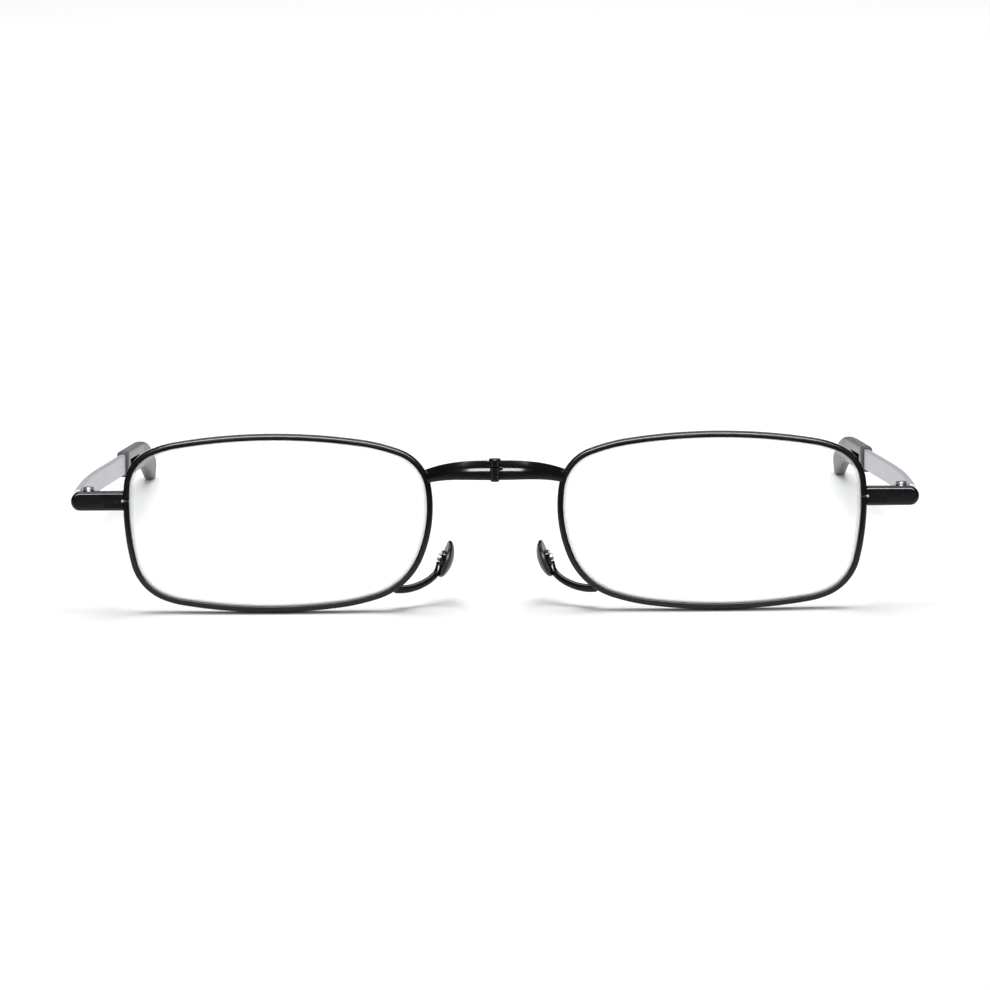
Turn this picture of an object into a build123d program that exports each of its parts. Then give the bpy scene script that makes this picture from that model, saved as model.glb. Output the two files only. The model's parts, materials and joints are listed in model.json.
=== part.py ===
from build123d import *
import os
from math import acos, atan2, cos, degrees, hypot, radians, sin, sqrt

import numpy as np

# Folding reading glasses, in millimetres.
# X runs across the face, with the wearer's left at +X. Y runs from the lenses (-Y) to the ear tips (+Y),
# and Z is up. Everything is drawn with the front upright and the temples level, for the wearer's left
# (+X), and is mirrored for the right, apart from the bridge. At the end the whole is leaned back until
# it stands on a table as open glasses do: on the bottoms of the rims and the ends of the ear tips.

os.makedirs("parts", exist_ok=True)

# ---- driving dimensions -------------------------------------------------------------------------
LENS_WIDTH = 46.9          # clear opening of one rim
LENS_HEIGHT = 26.3
RIM_GAP = 19.6             # between the two rims at the nose
RIM_FACE = 0.95            # rim wire, seen from the front
RIM_DEPTH = 1.9            # rim wire, front to back
RIM_PROUD = 0.45           # rim front ahead of the lens front
RIM_SPLIT = 0.1            # slit where the rim opens to take the lens
SPLIT_HOLE_R = 0.22        # small relief hole at the outer end of the slit

LENS_FRONT_RADIUS = 150.0
LENS_BACK_RADIUS = 394.0
LENS_EDGE = 1.0            # lens thickness at its widest point
BEVEL_DEPTH = 0.4          # ridge round the lens that sits in the rim's groove
BEVEL_WIDTH = 0.66
LENS_GAP = 0.04            # clearance of the lens in the rim

END_LENGTH = 8.25          # end piece, from the rim to its outer end
END_HEIGHT = 3.0
END_DEPTH = 1.9
END_RISE = 3.55            # end pieces and temples above the middle of the lenses
LOCK_LENGTH = 2.9          # lower half of the end piece that clamps the rim
LOCK_SCREW_R = 0.4
LOCK_HEAD_R = 0.68
LOCK_HEAD_H = 0.45

BRIDGE_AXIS_Y = -1.7       # fold axis, ahead of both lenses so that they meet face to face
BRIDGE_DEPTH = 1.7
BRIDGE_RISE = 1.7          # top of the middle above the top of the feet
BRIDGE_HEIGHT = 3.0        # at the middle
BRIDGE_FOOT_HEIGHT = 2.1   # where it meets the rim
BRIDGE_FOOT_DROP = 6.0     # top of the feet below the top of the rims
BRIDGE_BARREL_R = 0.75
BRIDGE_SCREW_R = 0.36
BRIDGE_HEAD_R = 0.95
BRIDGE_HEAD_H = 0.45
BRIDGE_NUT_R = 0.7
BRIDGE_NUT_H = 0.22
BRIDGE_EAR = 0.9           # height of each of the two outer knuckles

HINGE_REACH = 2.2          # temple hinge axis behind the end piece
HINGE_BARREL_R = 1.05
HINGE_EAR = 0.85
HINGE_SCREW_R = 0.5
HINGE_HEAD_R = 0.85
HINGE_HEAD_H = 0.4
LEAF_THICKNESS = 1.0
LEAF_LENGTH = 5.0
LEAF_HEIGHT = 2.5
RIVET_R = 0.45

BAR_HEIGHT = 3.4
BAR_THICKNESS = 1.0
BAR_INSET = 0.45           # outer face of the bar in from the end of the end piece
BAR_LEAD = 11.4            # straight length before the bow
BOW_RADIUS = 260.0
BOW_ANGLE = 5.0            # degrees the bar turns inward
BAR_ENTRY = 5.0            # length of bar inside the sleeve when it is drawn out
STROKE = 9.0               # travel of the sleeve along the bar
STROKE_SPARE = 14.0        # bar left between the bow and the sleeve when it is pushed in

SLEEVE_WALL = 0.45
SLEEVE_GAP = 0.05          # clearance round the bar
SLEEVE_CORNER = 0.6
MOUTH_LENGTH = 1.0         # bush at the mouth of the sleeve
SPIGOT_LENGTH = 2.5        # plug of the ear tip inside the sleeve
SPIGOT_GAP = 0.02
STOP_R = 0.6               # stop rivet that runs in the sleeve's slot
STOP_INSET = 2.5           # stop rivet from the end of the bar
STOP_GAP = 0.08

TIP_BEND_RADIUS = 24.0
TIP_BEND_ANGLE = 27.0
TIP_RUN = 1.5              # straight length after the bend

PAD_HEIGHT = 6.0
PAD_LENGTH = 6.6
PAD_THICKNESS = 1.5
PAD_X = 8.2                # back of the pad from the middle
PAD_Y = 7.0
PAD_Z = 7.6
PAD_TILT = 17.0            # degrees, wider apart at the bottom
PAD_SPLAY = 5.0            # degrees, wider apart at the back
PAD_CROWN = 0.8            # share of the pad's thickness that is rounded
PAD_BAND = 0.27            # share of the pad's thickness that has an upright edge
PAD_BORE_DEPTH = 0.7
PAD_SCREW_R = 0.3
PAD_SCREW_HEAD_R = 0.57
PAD_SCREW_HEAD_H = 0.4
PLATE_LENGTH = 3.0         # plate behind the pad
PLATE_HEIGHT = 2.4
PLATE_THICKNESS = 0.6
PLATE_CORNER = 0.6
ARM_R = 0.6
ARM_FOOT = 5.5             # foot of the arm on the rim, from the nose side of the opening
# points of the arm between its foot and the pad, as shares of the way in X, Y and Z
ARM_SHARES = [(0.36, 0.22, -0.02), (0.70, 0.55, 0.2), (0.93, 0.88, 0.56)]

RUN_GAP = 0.04             # radial clearance of a turning knuckle on its screw
SEAT_GAP = 0.01            # radial clearance of a screw in a fixed knuckle
FACE_GAP = 0.05            # between knuckles

# Lens outline: arcs joined tangentially, counter-clockwise seen from the front of the +X lens.
# Each entry is the direction of the outward normal where the arc ends, in degrees from +X, and the
# radius. The four sides have no radius of their own: they follow from the lens width and height.
OUTLINE_START = -13.7
OUTLINE_ARCS = [
    (4.0, None),      # temple side
    (66.6, 5.8),      # upper temple corner
    (80.4, 17.3),
    (98.8, None),     # top
    (110.8, 30.0),
    (171.4, 6.7),     # upper nose corner
    (203.3, None),    # nose side
    (252.6, 10.3),    # lower nose corner
    (263.3, 33.2),
    (279.1, None),    # bottom
    (291.6, 13.6),
    (346.3, 7.3),     # lower temple corner
]

# ---- sizes that follow ----------------------------------------------------------------------------
LENS_X = RIM_GAP / 2 + RIM_FACE + LENS_WIDTH / 2
LENS_Z = RIM_FACE + LENS_HEIGHT / 2
END_Z = LENS_Z + END_RISE
BRIDGE_FOOT_TOP = LENS_HEIGHT + 2 * RIM_FACE - BRIDGE_FOOT_DROP
BRIDGE_TOP = BRIDGE_FOOT_TOP + BRIDGE_RISE
RIM_OUTER_X = LENS_X + LENS_WIDTH / 2 + RIM_FACE
END_OUTER_X = RIM_OUTER_X + END_LENGTH
BAR_X = END_OUTER_X - BAR_INSET - BAR_THICKNESS / 2
HINGE_X = BAR_X - BAR_THICKNESS / 2 - HINGE_BARREL_R - FACE_GAP
SPHERE_Y = LENS_FRONT_RADIUS


def sag(radius, reach):
    """Depth of a ball's surface at a distance from its axis."""
    return radius - sqrt(radius ** 2 - reach ** 2)


END_FRONT_Y = sag(LENS_FRONT_RADIUS + RIM_PROUD, RIM_OUTER_X - LENS_X) - RIM_PROUD
END_BACK_Y = END_FRONT_Y + END_DEPTH
HINGE_Y = END_BACK_Y + HINGE_REACH
BAR_START_Y = END_BACK_Y + 0.2
LENS_CENTRE = LENS_EDGE + sag(LENS_FRONT_RADIUS, LENS_WIDTH / 2) - sag(LENS_BACK_RADIUS, LENS_WIDTH / 2)

# the straight stretch that the sleeve slides on starts at the end of the bow and runs along SLIDE
SLIDE = Vector(-sin(radians(BOW_ANGLE)), cos(radians(BOW_ANGLE)), 0)
BOW_END = Vector(
    BAR_X - BOW_RADIUS * (1 - cos(radians(BOW_ANGLE))),
    BAR_START_Y + BAR_LEAD + BOW_RADIUS * sin(radians(BOW_ANGLE)),
    END_Z,
)
MOUTH_AT = STROKE + STROKE_SPARE
BAR_TAIL = MOUTH_AT + BAR_ENTRY
CAVITY_HEIGHT = BAR_HEIGHT + 2 * SLEEVE_GAP
CAVITY_WIDTH = BAR_THICKNESS + 2 * SLEEVE_GAP
SLEEVE_HEIGHT = CAVITY_HEIGHT + 2 * SLEEVE_WALL
SLEEVE_WIDTH = CAVITY_WIDTH + 2 * SLEEVE_WALL
CAVITY_LENGTH = BAR_ENTRY + STROKE + 0.5
SLEEVE_LENGTH = CAVITY_LENGTH + SPIGOT_LENGTH


# ---- helpers --------------------------------------------------------------------------------------
def solved_radii():
    """Radii of all the outline's arcs, with the four sides found so that the outline closes on
    itself and measures the lens width and height."""
    ends = [OUTLINE_START] + [end for end, _ in OUTLINE_ARCS]
    turn = [radians(a) for a in ends]

    def travel(low, high):
        """How far each arc moves per unit radius, between two normal directions."""
        rows = []
        for first, last in zip(turn, turn[1:]):
            step = np.zeros(2)
            for lap in (-360, 0, 360):
                a = max(radians(low), first + radians(lap))
                b = min(radians(high), last + radians(lap))
                if b > a:
                    step += (cos(b) - cos(a), sin(b) - sin(a))
            rows.append(step)
        return np.array(rows)

    whole = travel(OUTLINE_START, OUTLINE_START + 360)
    rules = [whole[:, 0], whole[:, 1], travel(0, 180)[:, 0], travel(-90, 90)[:, 1]]
    wanted = np.array([0, 0, -LENS_WIDTH, LENS_HEIGHT], float)
    radii = np.array([r or 0 for _, r in OUTLINE_ARCS], float)
    sides = [i for i, (_, r) in enumerate(OUTLINE_ARCS) if r is None]
    rest = wanted - np.array([rule @ radii for rule in rules])
    radii[sides] = np.linalg.solve(np.array([rule[sides] for rule in rules]), rest)
    return radii


def arc_centres(radii):
    """Centres of the arcs, with the outline's box centred on the origin."""
    angle = radians(OUTLINE_START)
    point = np.zeros(2)
    centres = []
    for radius, (end, _) in zip(radii, OUTLINE_ARCS):
        centre = point - radius * np.array([cos(angle), sin(angle)])
        centres.append(centre)
        angle = radians(end)
        point = centre + radius * np.array([cos(angle), sin(angle)])
    right = max(c[0] + r for c, r, (e, _), s in zip(centres, radii, OUTLINE_ARCS, ARC_STARTS) if s <= 0 <= e)
    top = max(c[1] + r for c, r, (e, _), s in zip(centres, radii, OUTLINE_ARCS, ARC_STARTS) if s <= 90 <= e)
    shift = np.array([LENS_WIDTH / 2 - right, LENS_HEIGHT / 2 - top])
    return [c + shift for c in centres]


ARC_STARTS = [OUTLINE_START] + [end for end, _ in OUTLINE_ARCS[:-1]]
ARC_RADII = solved_radii()
ARC_CENTRES = arc_centres(ARC_RADII)


def outline_prism(grow):
    """A block with the lens outline, moved outward by grow, deep enough to pass through the rim."""
    edges = []
    for centre, radius, start, (end, _) in zip(ARC_CENTRES, ARC_RADII, ARC_STARTS, OUTLINE_ARCS):
        edges.append(CenterArc(tuple(centre), radius + grow, start, end - start))
    face = make_face(Curve(edges))
    placed = Plane((LENS_X, 0, LENS_Z), x_dir=(1, 0, 0), z_dir=(0, -1, 0)) * face
    return extrude(placed, amount=12, both=True)


def lens_ball(radius, centre_y):
    return Pos(LENS_X, centre_y, LENS_Z) * Sphere(radius)


def block(x0, x1, y0, y1, z0, z1):
    """A box between two corners."""
    size = Box(x1 - x0, y1 - y0, z1 - z0)
    return Pos((x0 + x1) / 2, (y0 + y1) / 2, (z0 + z1) / 2) * size


def post(x, y, z0, z1, radius):
    """An upright cylinder."""
    return Pos(x, y, (z0 + z1) / 2) * Cylinder(radius, z1 - z0)


def slide_plane(distance, across=0.0):
    """Plane square to the straight stretch of the temple, at a distance from the end of the bow."""
    origin = BOW_END + SLIDE * distance + Vector(SLIDE.Y, -SLIDE.X, 0) * across
    return Plane(origin, x_dir=(SLIDE.Y, -SLIDE.X, 0), z_dir=SLIDE)


def section_tube(start, length, width, height, corner):
    """A rounded rectangular bar along the straight stretch of the temple."""
    return extrude(slide_plane(start) * RectangleRounded(width, height, corner), amount=length)


def slot_cut(x, y, z, length, width, depth, turn=0):
    """Driver slot in the top of a screw head."""
    return Pos(x, y, z - depth / 2) * Rot(0, 0, turn) * Box(length, width, depth)


# ---- front ----------------------------------------------------------------------------------------
def make_rim():
    wire = outline_prism(RIM_FACE) - outline_prism(0)
    wire = wire & lens_ball(LENS_FRONT_RADIUS + RIM_PROUD, SPHERE_Y)
    wire = wire - lens_ball(LENS_FRONT_RADIUS + RIM_PROUD - RIM_DEPTH, SPHERE_Y)
    middle = LENS_FRONT_RADIUS - LENS_EDGE / 2
    half = BEVEL_WIDTH / 2 + LENS_GAP
    groove = outline_prism(BEVEL_DEPTH + LENS_GAP) & lens_ball(middle + half, SPHERE_Y)
    groove = groove - lens_ball(middle - half, SPHERE_Y)
    slit = block(
        LENS_X + LENS_WIDTH / 4, RIM_OUTER_X + 1, END_FRONT_Y - 2, END_BACK_Y + 2,
        END_Z - RIM_SPLIT / 2, END_Z + RIM_SPLIT / 2,
    )
    return wire - groove - slit - split_hole()


def make_lens():
    front = lens_ball(LENS_FRONT_RADIUS, SPHERE_Y)
    back = lens_ball(LENS_BACK_RADIUS, LENS_CENTRE + LENS_BACK_RADIUS)
    glass = (outline_prism(-LENS_GAP) & front) - back
    middle = LENS_FRONT_RADIUS - LENS_EDGE / 2
    ridge = outline_prism(BEVEL_DEPTH - LENS_GAP) - outline_prism(-1)
    ridge = ridge & lens_ball(middle + BEVEL_WIDTH / 2, SPHERE_Y)
    ridge = ridge - lens_ball(middle - BEVEL_WIDTH / 2, SPHERE_Y)
    return glass + ridge


def end_bar():
    """The whole end piece with its rounded outer end, butted against the rim."""
    round_x = END_OUTER_X - END_HEIGHT / 2
    face = Rectangle(round_x - LENS_X, END_HEIGHT, align=(Align.MIN, Align.CENTER))
    face += Pos(round_x - LENS_X, 0) * Circle(END_HEIGHT / 2)
    plane = Plane((LENS_X, END_BACK_Y, END_Z), x_dir=(1, 0, 0), z_dir=(0, -1, 0))
    bar = extrude(plane * face, amount=END_DEPTH)
    front = bar.faces().sort_by(Axis.Y)[0]
    bar = fillet(front.edges(), 0.45)
    return bar - outline_prism(RIM_FACE)


def split_hole():
    """Relief hole through the joint, where the slit meets the end piece."""
    return Pos(RIM_OUTER_X + SPLIT_HOLE_R * 0.4, END_BACK_Y, END_Z) * Rot(90, 0, 0) * Cylinder(SPLIT_HOLE_R, 12)


def lock_region():
    low = END_Z - END_HEIGHT / 2 - 1
    return block(LENS_X, RIM_OUTER_X + LOCK_LENGTH, -3, END_BACK_Y + 1, low, END_Z)


LOCK_X = RIM_OUTER_X + LOCK_LENGTH * 0.55
LOCK_Y = END_FRONT_Y + END_DEPTH * 0.55
LOCK_BOTTOM = END_Z - END_HEIGHT / 2


def make_end_piece():
    bar = end_bar() - lock_region() - split_hole()
    nick = block(LENS_X, RIM_OUTER_X + 0.3, -3, END_BACK_Y + 1, END_Z - 1, END_Z + RIM_SPLIT / 2)
    thread = post(LOCK_X, LOCK_Y, END_Z - 1, END_Z + END_HEIGHT / 2 - 0.3, LOCK_SCREW_R + SEAT_GAP)
    return bar - nick - thread


def make_lock_block():
    low = lock_region() - block(
        LENS_X, RIM_OUTER_X + 0.3, -3, END_BACK_Y + 1, END_Z - RIM_SPLIT / 2, END_Z
    )
    low = Pos(-FACE_GAP / 2, 0, -FACE_GAP / 2) * low
    chunk = (end_bar() & low) - split_hole()
    hole = post(LOCK_X, LOCK_Y, LOCK_BOTTOM - 1, END_Z + 1, LOCK_SCREW_R + SEAT_GAP)
    sink = post(LOCK_X, LOCK_Y, LOCK_BOTTOM - 1, LOCK_BOTTOM + LOCK_HEAD_H, LOCK_HEAD_R + SEAT_GAP)
    return chunk - hole - sink


def make_lock_screw():
    shank = post(LOCK_X, LOCK_Y, LOCK_BOTTOM + 0.05, END_Z + END_HEIGHT / 2 - 0.4, LOCK_SCREW_R)
    head = post(LOCK_X, LOCK_Y, LOCK_BOTTOM + 0.05, LOCK_BOTTOM + LOCK_HEAD_H, LOCK_HEAD_R)
    slot = slot_cut(LOCK_X, LOCK_Y, LOCK_BOTTOM + 0.25, 2 * LOCK_HEAD_R + 1, 0.25, 0.25)
    return shank + head - slot


# ---- temple hinge ---------------------------------------------------------------------------------
EAR_TOP = END_Z + END_HEIGHT / 2
EAR_BOTTOM = END_Z - END_HEIGHT / 2
TONGUE_BOTTOM = EAR_BOTTOM + HINGE_EAR + FACE_GAP
TONGUE_TOP = EAR_TOP - HINGE_EAR - FACE_GAP


def make_hinge_block():
    """Two ears on a base plate behind the end piece."""
    left = HINGE_X - HINGE_BARREL_R
    right = HINGE_X + HINGE_BARREL_R
    base = block(left - 0.6, right, END_BACK_Y, END_BACK_Y + 0.6, EAR_BOTTOM, EAR_TOP)
    ears = block(left, right, END_BACK_Y + 0.3, HINGE_Y, EAR_BOTTOM, EAR_TOP)
    ears += post(HINGE_X, HINGE_Y, EAR_BOTTOM, EAR_TOP, HINGE_BARREL_R)
    ears -= block(
        left - 1, right + 1, END_BACK_Y + 0.6, HINGE_Y + 3,
        TONGUE_BOTTOM - FACE_GAP, TONGUE_TOP + FACE_GAP,
    )
    hole = post(HINGE_X, HINGE_Y, EAR_BOTTOM - 1, EAR_TOP + 1, HINGE_SCREW_R + SEAT_GAP)
    return base + ears - hole


def make_hinge_screw():
    shank = post(HINGE_X, HINGE_Y, EAR_BOTTOM, EAR_TOP + HINGE_HEAD_H / 2, HINGE_SCREW_R)
    head = post(HINGE_X, HINGE_Y, EAR_TOP, EAR_TOP + HINGE_HEAD_H, HINGE_HEAD_R)
    head = fillet(head.edges().sort_by(Axis.Z)[-1], 0.15)
    slot = slot_cut(HINGE_X, HINGE_Y, EAR_TOP + HINGE_HEAD_H, 2 * HINGE_HEAD_R + 1, 0.28, 0.22, 35)
    return shank + head - slot


LEAF_OUTER_X = BAR_X - BAR_THICKNESS / 2
LEAF_START_Y = HINGE_Y + HINGE_BARREL_R + 0.55
RIVET_Y = (LEAF_START_Y + 1.3, LEAF_START_Y + LEAF_LENGTH - 1.3)


def make_hinge_leaf():
    """The tongue that turns between the ears, on a leaf riveted inside the temple bar."""
    tongue = post(HINGE_X, HINGE_Y, TONGUE_BOTTOM, TONGUE_TOP, HINGE_BARREL_R)
    tongue += block(
        HINGE_X - HINGE_BARREL_R / 2, LEAF_OUTER_X, HINGE_Y, LEAF_START_Y + 0.3,
        TONGUE_BOTTOM, TONGUE_TOP,
    )
    half = LEAF_HEIGHT / 2
    leaf = block(
        LEAF_OUTER_X - LEAF_THICKNESS, LEAF_OUTER_X, LEAF_START_Y, LEAF_START_Y + LEAF_LENGTH,
        END_Z - half, END_Z + half,
    )
    leaf = fillet(leaf.edges().filter_by(Axis.X).group_by(Axis.Y)[-1], 0.8)
    body = tongue + leaf
    body -= post(HINGE_X, HINGE_Y, TONGUE_BOTTOM - 1, TONGUE_TOP + 1, HINGE_SCREW_R + RUN_GAP)
    for y in RIVET_Y:
        body -= rivet_rod(y, RIVET_R + SEAT_GAP, LEAF_THICKNESS + 2, -1)
    return body


def rivet_rod(y, radius, length, start):
    """A cylinder across the temple, from start inside the leaf's inner face towards the outside."""
    x0 = LEAF_OUTER_X - LEAF_THICKNESS + start
    return Plane((x0, y, END_Z), z_dir=(1, 0, 0)) * Cylinder(
        radius, length, align=(Align.CENTER, Align.CENTER, Align.MIN)
    )


def make_leaf_rivets():
    through = LEAF_THICKNESS + BAR_THICKNESS * 0.6
    rods = [rivet_rod(y, RIVET_R, through, 0) for y in RIVET_Y]
    heads = [rivet_rod(y, RIVET_R * 1.5, 0.2, -0.2) for y in RIVET_Y]
    return [rod + head for rod, head in zip(rods, heads)]


# ---- temple ---------------------------------------------------------------------------------------
def make_temple_bar():
    half = BAR_THICKNESS / 2
    bow_y = BAR_START_Y + BAR_LEAD
    centre = (BAR_X - BOW_RADIUS, bow_y)
    tail = BOW_END + SLIDE * BAR_TAIL
    side = Vector(SLIDE.Y, -SLIDE.X, 0) * half
    turn = BOW_END + side
    back = BOW_END - side
    outer_end = tail + side
    inner_end = tail - side
    face = make_face(Curve([
        Line((BAR_X - half, BAR_START_Y), (BAR_X + half, BAR_START_Y)),
        Line((BAR_X + half, BAR_START_Y), (BAR_X + half, bow_y)),
        CenterArc(centre, BOW_RADIUS + half, 0, BOW_ANGLE),
        Line((turn.X, turn.Y), (outer_end.X, outer_end.Y)),
        Line((outer_end.X, outer_end.Y), (inner_end.X, inner_end.Y)),
        Line((inner_end.X, inner_end.Y), (back.X, back.Y)),
        CenterArc(centre, BOW_RADIUS - half, 0, BOW_ANGLE),
        Line((BAR_X - half, bow_y), (BAR_X - half, BAR_START_Y)),
    ]))
    bar = extrude(Pos(0, 0, END_Z) * face, amount=BAR_HEIGHT / 2, both=True)
    for y in RIVET_Y:
        bar -= rivet_rod(y, RIVET_R + SEAT_GAP, LEAF_THICKNESS + BAR_THICKNESS * 0.6 + 0.05, 0)
    return bar - stop_rod(STOP_R * 0.6 + SEAT_GAP, -BAR_THICKNESS, BAR_THICKNESS * 0.7)


def stop_rod(radius, start, end):
    """A cylinder across the bar near its tail; positions are from the bar's inner face, inward."""
    at = BAR_TAIL - STOP_INSET
    side = Vector(-SLIDE.Y, SLIDE.X, 0)
    origin = BOW_END + SLIDE * at + side * (BAR_THICKNESS / 2 + start)
    return Plane(origin, z_dir=side) * Cylinder(
        radius, end - start, align=(Align.CENTER, Align.CENTER, Align.MIN)
    )


def make_bar_stop():
    """Rivet whose head runs in the slot of the sleeve and ends its travel both ways."""
    shank = stop_rod(STOP_R * 0.6, -BAR_THICKNESS, 0)
    head = stop_rod(STOP_R, 0, SLEEVE_GAP + SLEEVE_WALL * 0.7)
    return shank + head


# ---- sleeve and ear tip ---------------------------------------------------------------------------
def make_sleeve():
    start = MOUTH_AT + MOUTH_LENGTH
    length = SLEEVE_LENGTH - MOUTH_LENGTH
    shell = section_tube(start, length, SLEEVE_WIDTH, SLEEVE_HEIGHT, SLEEVE_CORNER)
    cavity = section_tube(start - 1, length + 2, CAVITY_WIDTH, CAVITY_HEIGHT, 0.1)
    shell = shell - cavity
    first = BAR_TAIL - STOP_INSET
    reach = STROKE + 2 * (STOP_R + STOP_GAP)
    side = Vector(-SLIDE.Y, SLIDE.X, 0)
    middle = BOW_END + SLIDE * (first + STROKE / 2) + side * SLEEVE_WIDTH / 4
    slot_face = Plane(middle, x_dir=SLIDE, z_dir=side) * SlotOverall(reach, 2 * (STOP_R + STOP_GAP))
    return shell - extrude(slot_face, amount=SLEEVE_WIDTH)


def make_sleeve_bush():
    ring = section_tube(MOUTH_AT, MOUTH_LENGTH, SLEEVE_WIDTH - 0.1, SLEEVE_HEIGHT - 0.1, SLEEVE_CORNER)
    return ring - section_tube(MOUTH_AT - 1, MOUTH_LENGTH + 2, CAVITY_WIDTH, CAVITY_HEIGHT, 0.1)


def tip_bend_end():
    """Middle of the ear tip at the end of its bend: run along the slide direction, and height."""
    angle = radians(TIP_BEND_ANGLE)
    return TIP_BEND_RADIUS * sin(angle), TIP_BEND_RADIUS * (cos(angle) - 1)


def tip_round_centre():
    """Centre of the ear tip's rounded end, along the slide direction and up."""
    angle = radians(TIP_BEND_ANGLE)
    along, height = tip_bend_end()
    return along + TIP_RUN * cos(angle), height - TIP_RUN * sin(angle)


def make_temple_tip():
    """Ear tip: a plug in the sleeve, a bend downward and a rounded end."""
    start = MOUTH_AT + SLEEVE_LENGTH
    half = SLEEVE_HEIGHT / 2
    angle = radians(TIP_BEND_ANGLE)
    # side view: along the slide direction from the end of the sleeve, and up from the temple
    bend = (0, -TIP_BEND_RADIUS)
    ahead = (cos(angle), -sin(angle))
    up = (sin(angle), cos(angle))
    mid = tip_bend_end()
    end = tip_round_centre()
    top_mid = (mid[0] + half * up[0], mid[1] + half * up[1])
    low_mid = (mid[0] - half * up[0], mid[1] - half * up[1])
    top_end = (end[0] + half * up[0], end[1] + half * up[1])
    low_end = (end[0] - half * up[0], end[1] - half * up[1])
    nose = (end[0] + half * ahead[0], end[1] + half * ahead[1])
    face = make_face(Curve([
        CenterArc(bend, TIP_BEND_RADIUS + half, 90, -TIP_BEND_ANGLE),
        Line(top_mid, top_end),
        ThreePointArc(top_end, nose, low_end),
        Line(low_end, low_mid),
        CenterArc(bend, TIP_BEND_RADIUS - half, 90, -TIP_BEND_ANGLE),
        Line((0, -half), (0, half)),
    ]))
    origin = BOW_END + SLIDE * start
    plane = Plane(origin, x_dir=SLIDE, z_dir=Vector(SLIDE.Y, -SLIDE.X, 0))
    body = extrude(plane * face, amount=SLEEVE_WIDTH / 2, both=True)
    sides = body.faces().filter_by(GeomType.PLANE).sort_by(SortBy.AREA)[-2:]
    rims = [e for e in sides[0].edges() + sides[1].edges() if (e.center() - origin).dot(SLIDE) > 0.5]
    body = fillet(rims, SLEEVE_CORNER)
    plug = section_tube(
        start - SPIGOT_LENGTH, SPIGOT_LENGTH + 0.5,
        CAVITY_WIDTH - 2 * SPIGOT_GAP, CAVITY_HEIGHT - 2 * SPIGOT_GAP, 0.1,
    )
    return body + plug


# ---- nose pads ------------------------------------------------------------------------------------
PAD_FRAME = Pos(PAD_X, PAD_Y, PAD_Z) * Rot(0, 0, -PAD_SPLAY) * Rot(0, -PAD_TILT, 0)


def pad_bore(depth):
    """Space of the pad screw's shank, from inside the pad out through the plate."""
    reach = PLATE_THICKNESS + depth + 1
    return Pos(reach / 2 - depth, 0, 0) * Rot(0, 90, 0) * Cylinder(PAD_SCREW_R + SEAT_GAP, reach)


def make_nose_pad():
    """Oval pad, flat towards the rim and rounded towards the nose."""
    oval = extrude(Plane.YZ * Ellipse(PAD_LENGTH / 2, PAD_HEIGHT / 2), amount=-PAD_THICKNESS)
    dome = PAD_LENGTH ** 2 / (8 * PAD_THICKNESS * PAD_CROWN) + PAD_THICKNESS * PAD_CROWN / 2
    ball = Pos(dome - PAD_THICKNESS, 0, 0) * Sphere(dome)
    band = extrude(Plane.YZ * Ellipse(PAD_LENGTH / 2, PAD_HEIGHT / 2), amount=-PAD_THICKNESS * PAD_BAND)
    return PAD_FRAME * ((oval & ball) + band - pad_bore(PAD_BORE_DEPTH))


def make_pad_box():
    """Small plate behind the pad that the arm carries."""
    outline = RectangleRounded(PLATE_LENGTH, PLATE_HEIGHT, PLATE_CORNER)
    return PAD_FRAME * extrude(Plane.YZ * outline, amount=PLATE_THICKNESS)


def make_pad_screw():
    """Screw through the plate into the back of the pad."""
    length = PAD_BORE_DEPTH + PLATE_THICKNESS - SEAT_GAP
    shank = Pos(PLATE_THICKNESS - length / 2, 0, 0) * Rot(0, 90, 0) * Cylinder(PAD_SCREW_R, length)
    head = Rot(0, 90, 0) * Cylinder(PAD_SCREW_HEAD_R, PAD_SCREW_HEAD_H)
    return PAD_FRAME * (shank + Pos(PLATE_THICKNESS + PAD_SCREW_HEAD_H / 2, 0, 0) * head)


def pad_screw_space():
    """Room for the pad screw and its head in the arm."""
    head = Rot(0, 90, 0) * Cylinder(PAD_SCREW_HEAD_R + FACE_GAP, 3)
    return PAD_FRAME * (pad_bore(0) + Pos(PLATE_THICKNESS + 1.5, 0, 0) * head)


def rim_back_y(x, z):
    reach = hypot(x - LENS_X, z - LENS_Z)
    return sag(LENS_FRONT_RADIUS + RIM_PROUD - RIM_DEPTH, reach) + RIM_DEPTH - RIM_PROUD


def make_pad_arm():
    """Wire from the rim's lower nose corner, under and up to the plate behind the pad."""
    end = (PAD_FRAME * Pos(PLATE_THICKNESS, 0, -PLATE_HEIGHT / 2)).position
    foot_x = LENS_X - LENS_WIDTH / 2 + ARM_FOOT
    foot_z = rim_height_at(foot_x)
    foot = Vector(foot_x, rim_back_y(foot_x, foot_z) + ARM_R * 0.4, foot_z - ARM_R * 0.4)
    way = end - foot
    between = [foot + Vector(way.X * x, way.Y * y, way.Z * z) for x, y, z in ARM_SHARES]
    path = Spline([foot, *between, end], tangents=[(-1, 0.25, -0.25), (-0.25, 0.05, 1)])
    wire = sweep(Plane(path @ 0, z_dir=path % 0) * Circle(ARM_R), path=path)
    wire = wire - outline_shell() - PAD_FRAME * block(-4, 0, -6, 6, -6, 6)
    return wire + make_pad_box() - pad_screw_space()


def outline_shell():
    """The space of the rim wire itself, which the arm is brazed against."""
    ring = outline_prism(RIM_FACE) & lens_ball(LENS_FRONT_RADIUS + RIM_PROUD, SPHERE_Y)
    return ring - lens_ball(LENS_FRONT_RADIUS + RIM_PROUD - RIM_DEPTH, SPHERE_Y)


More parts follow.
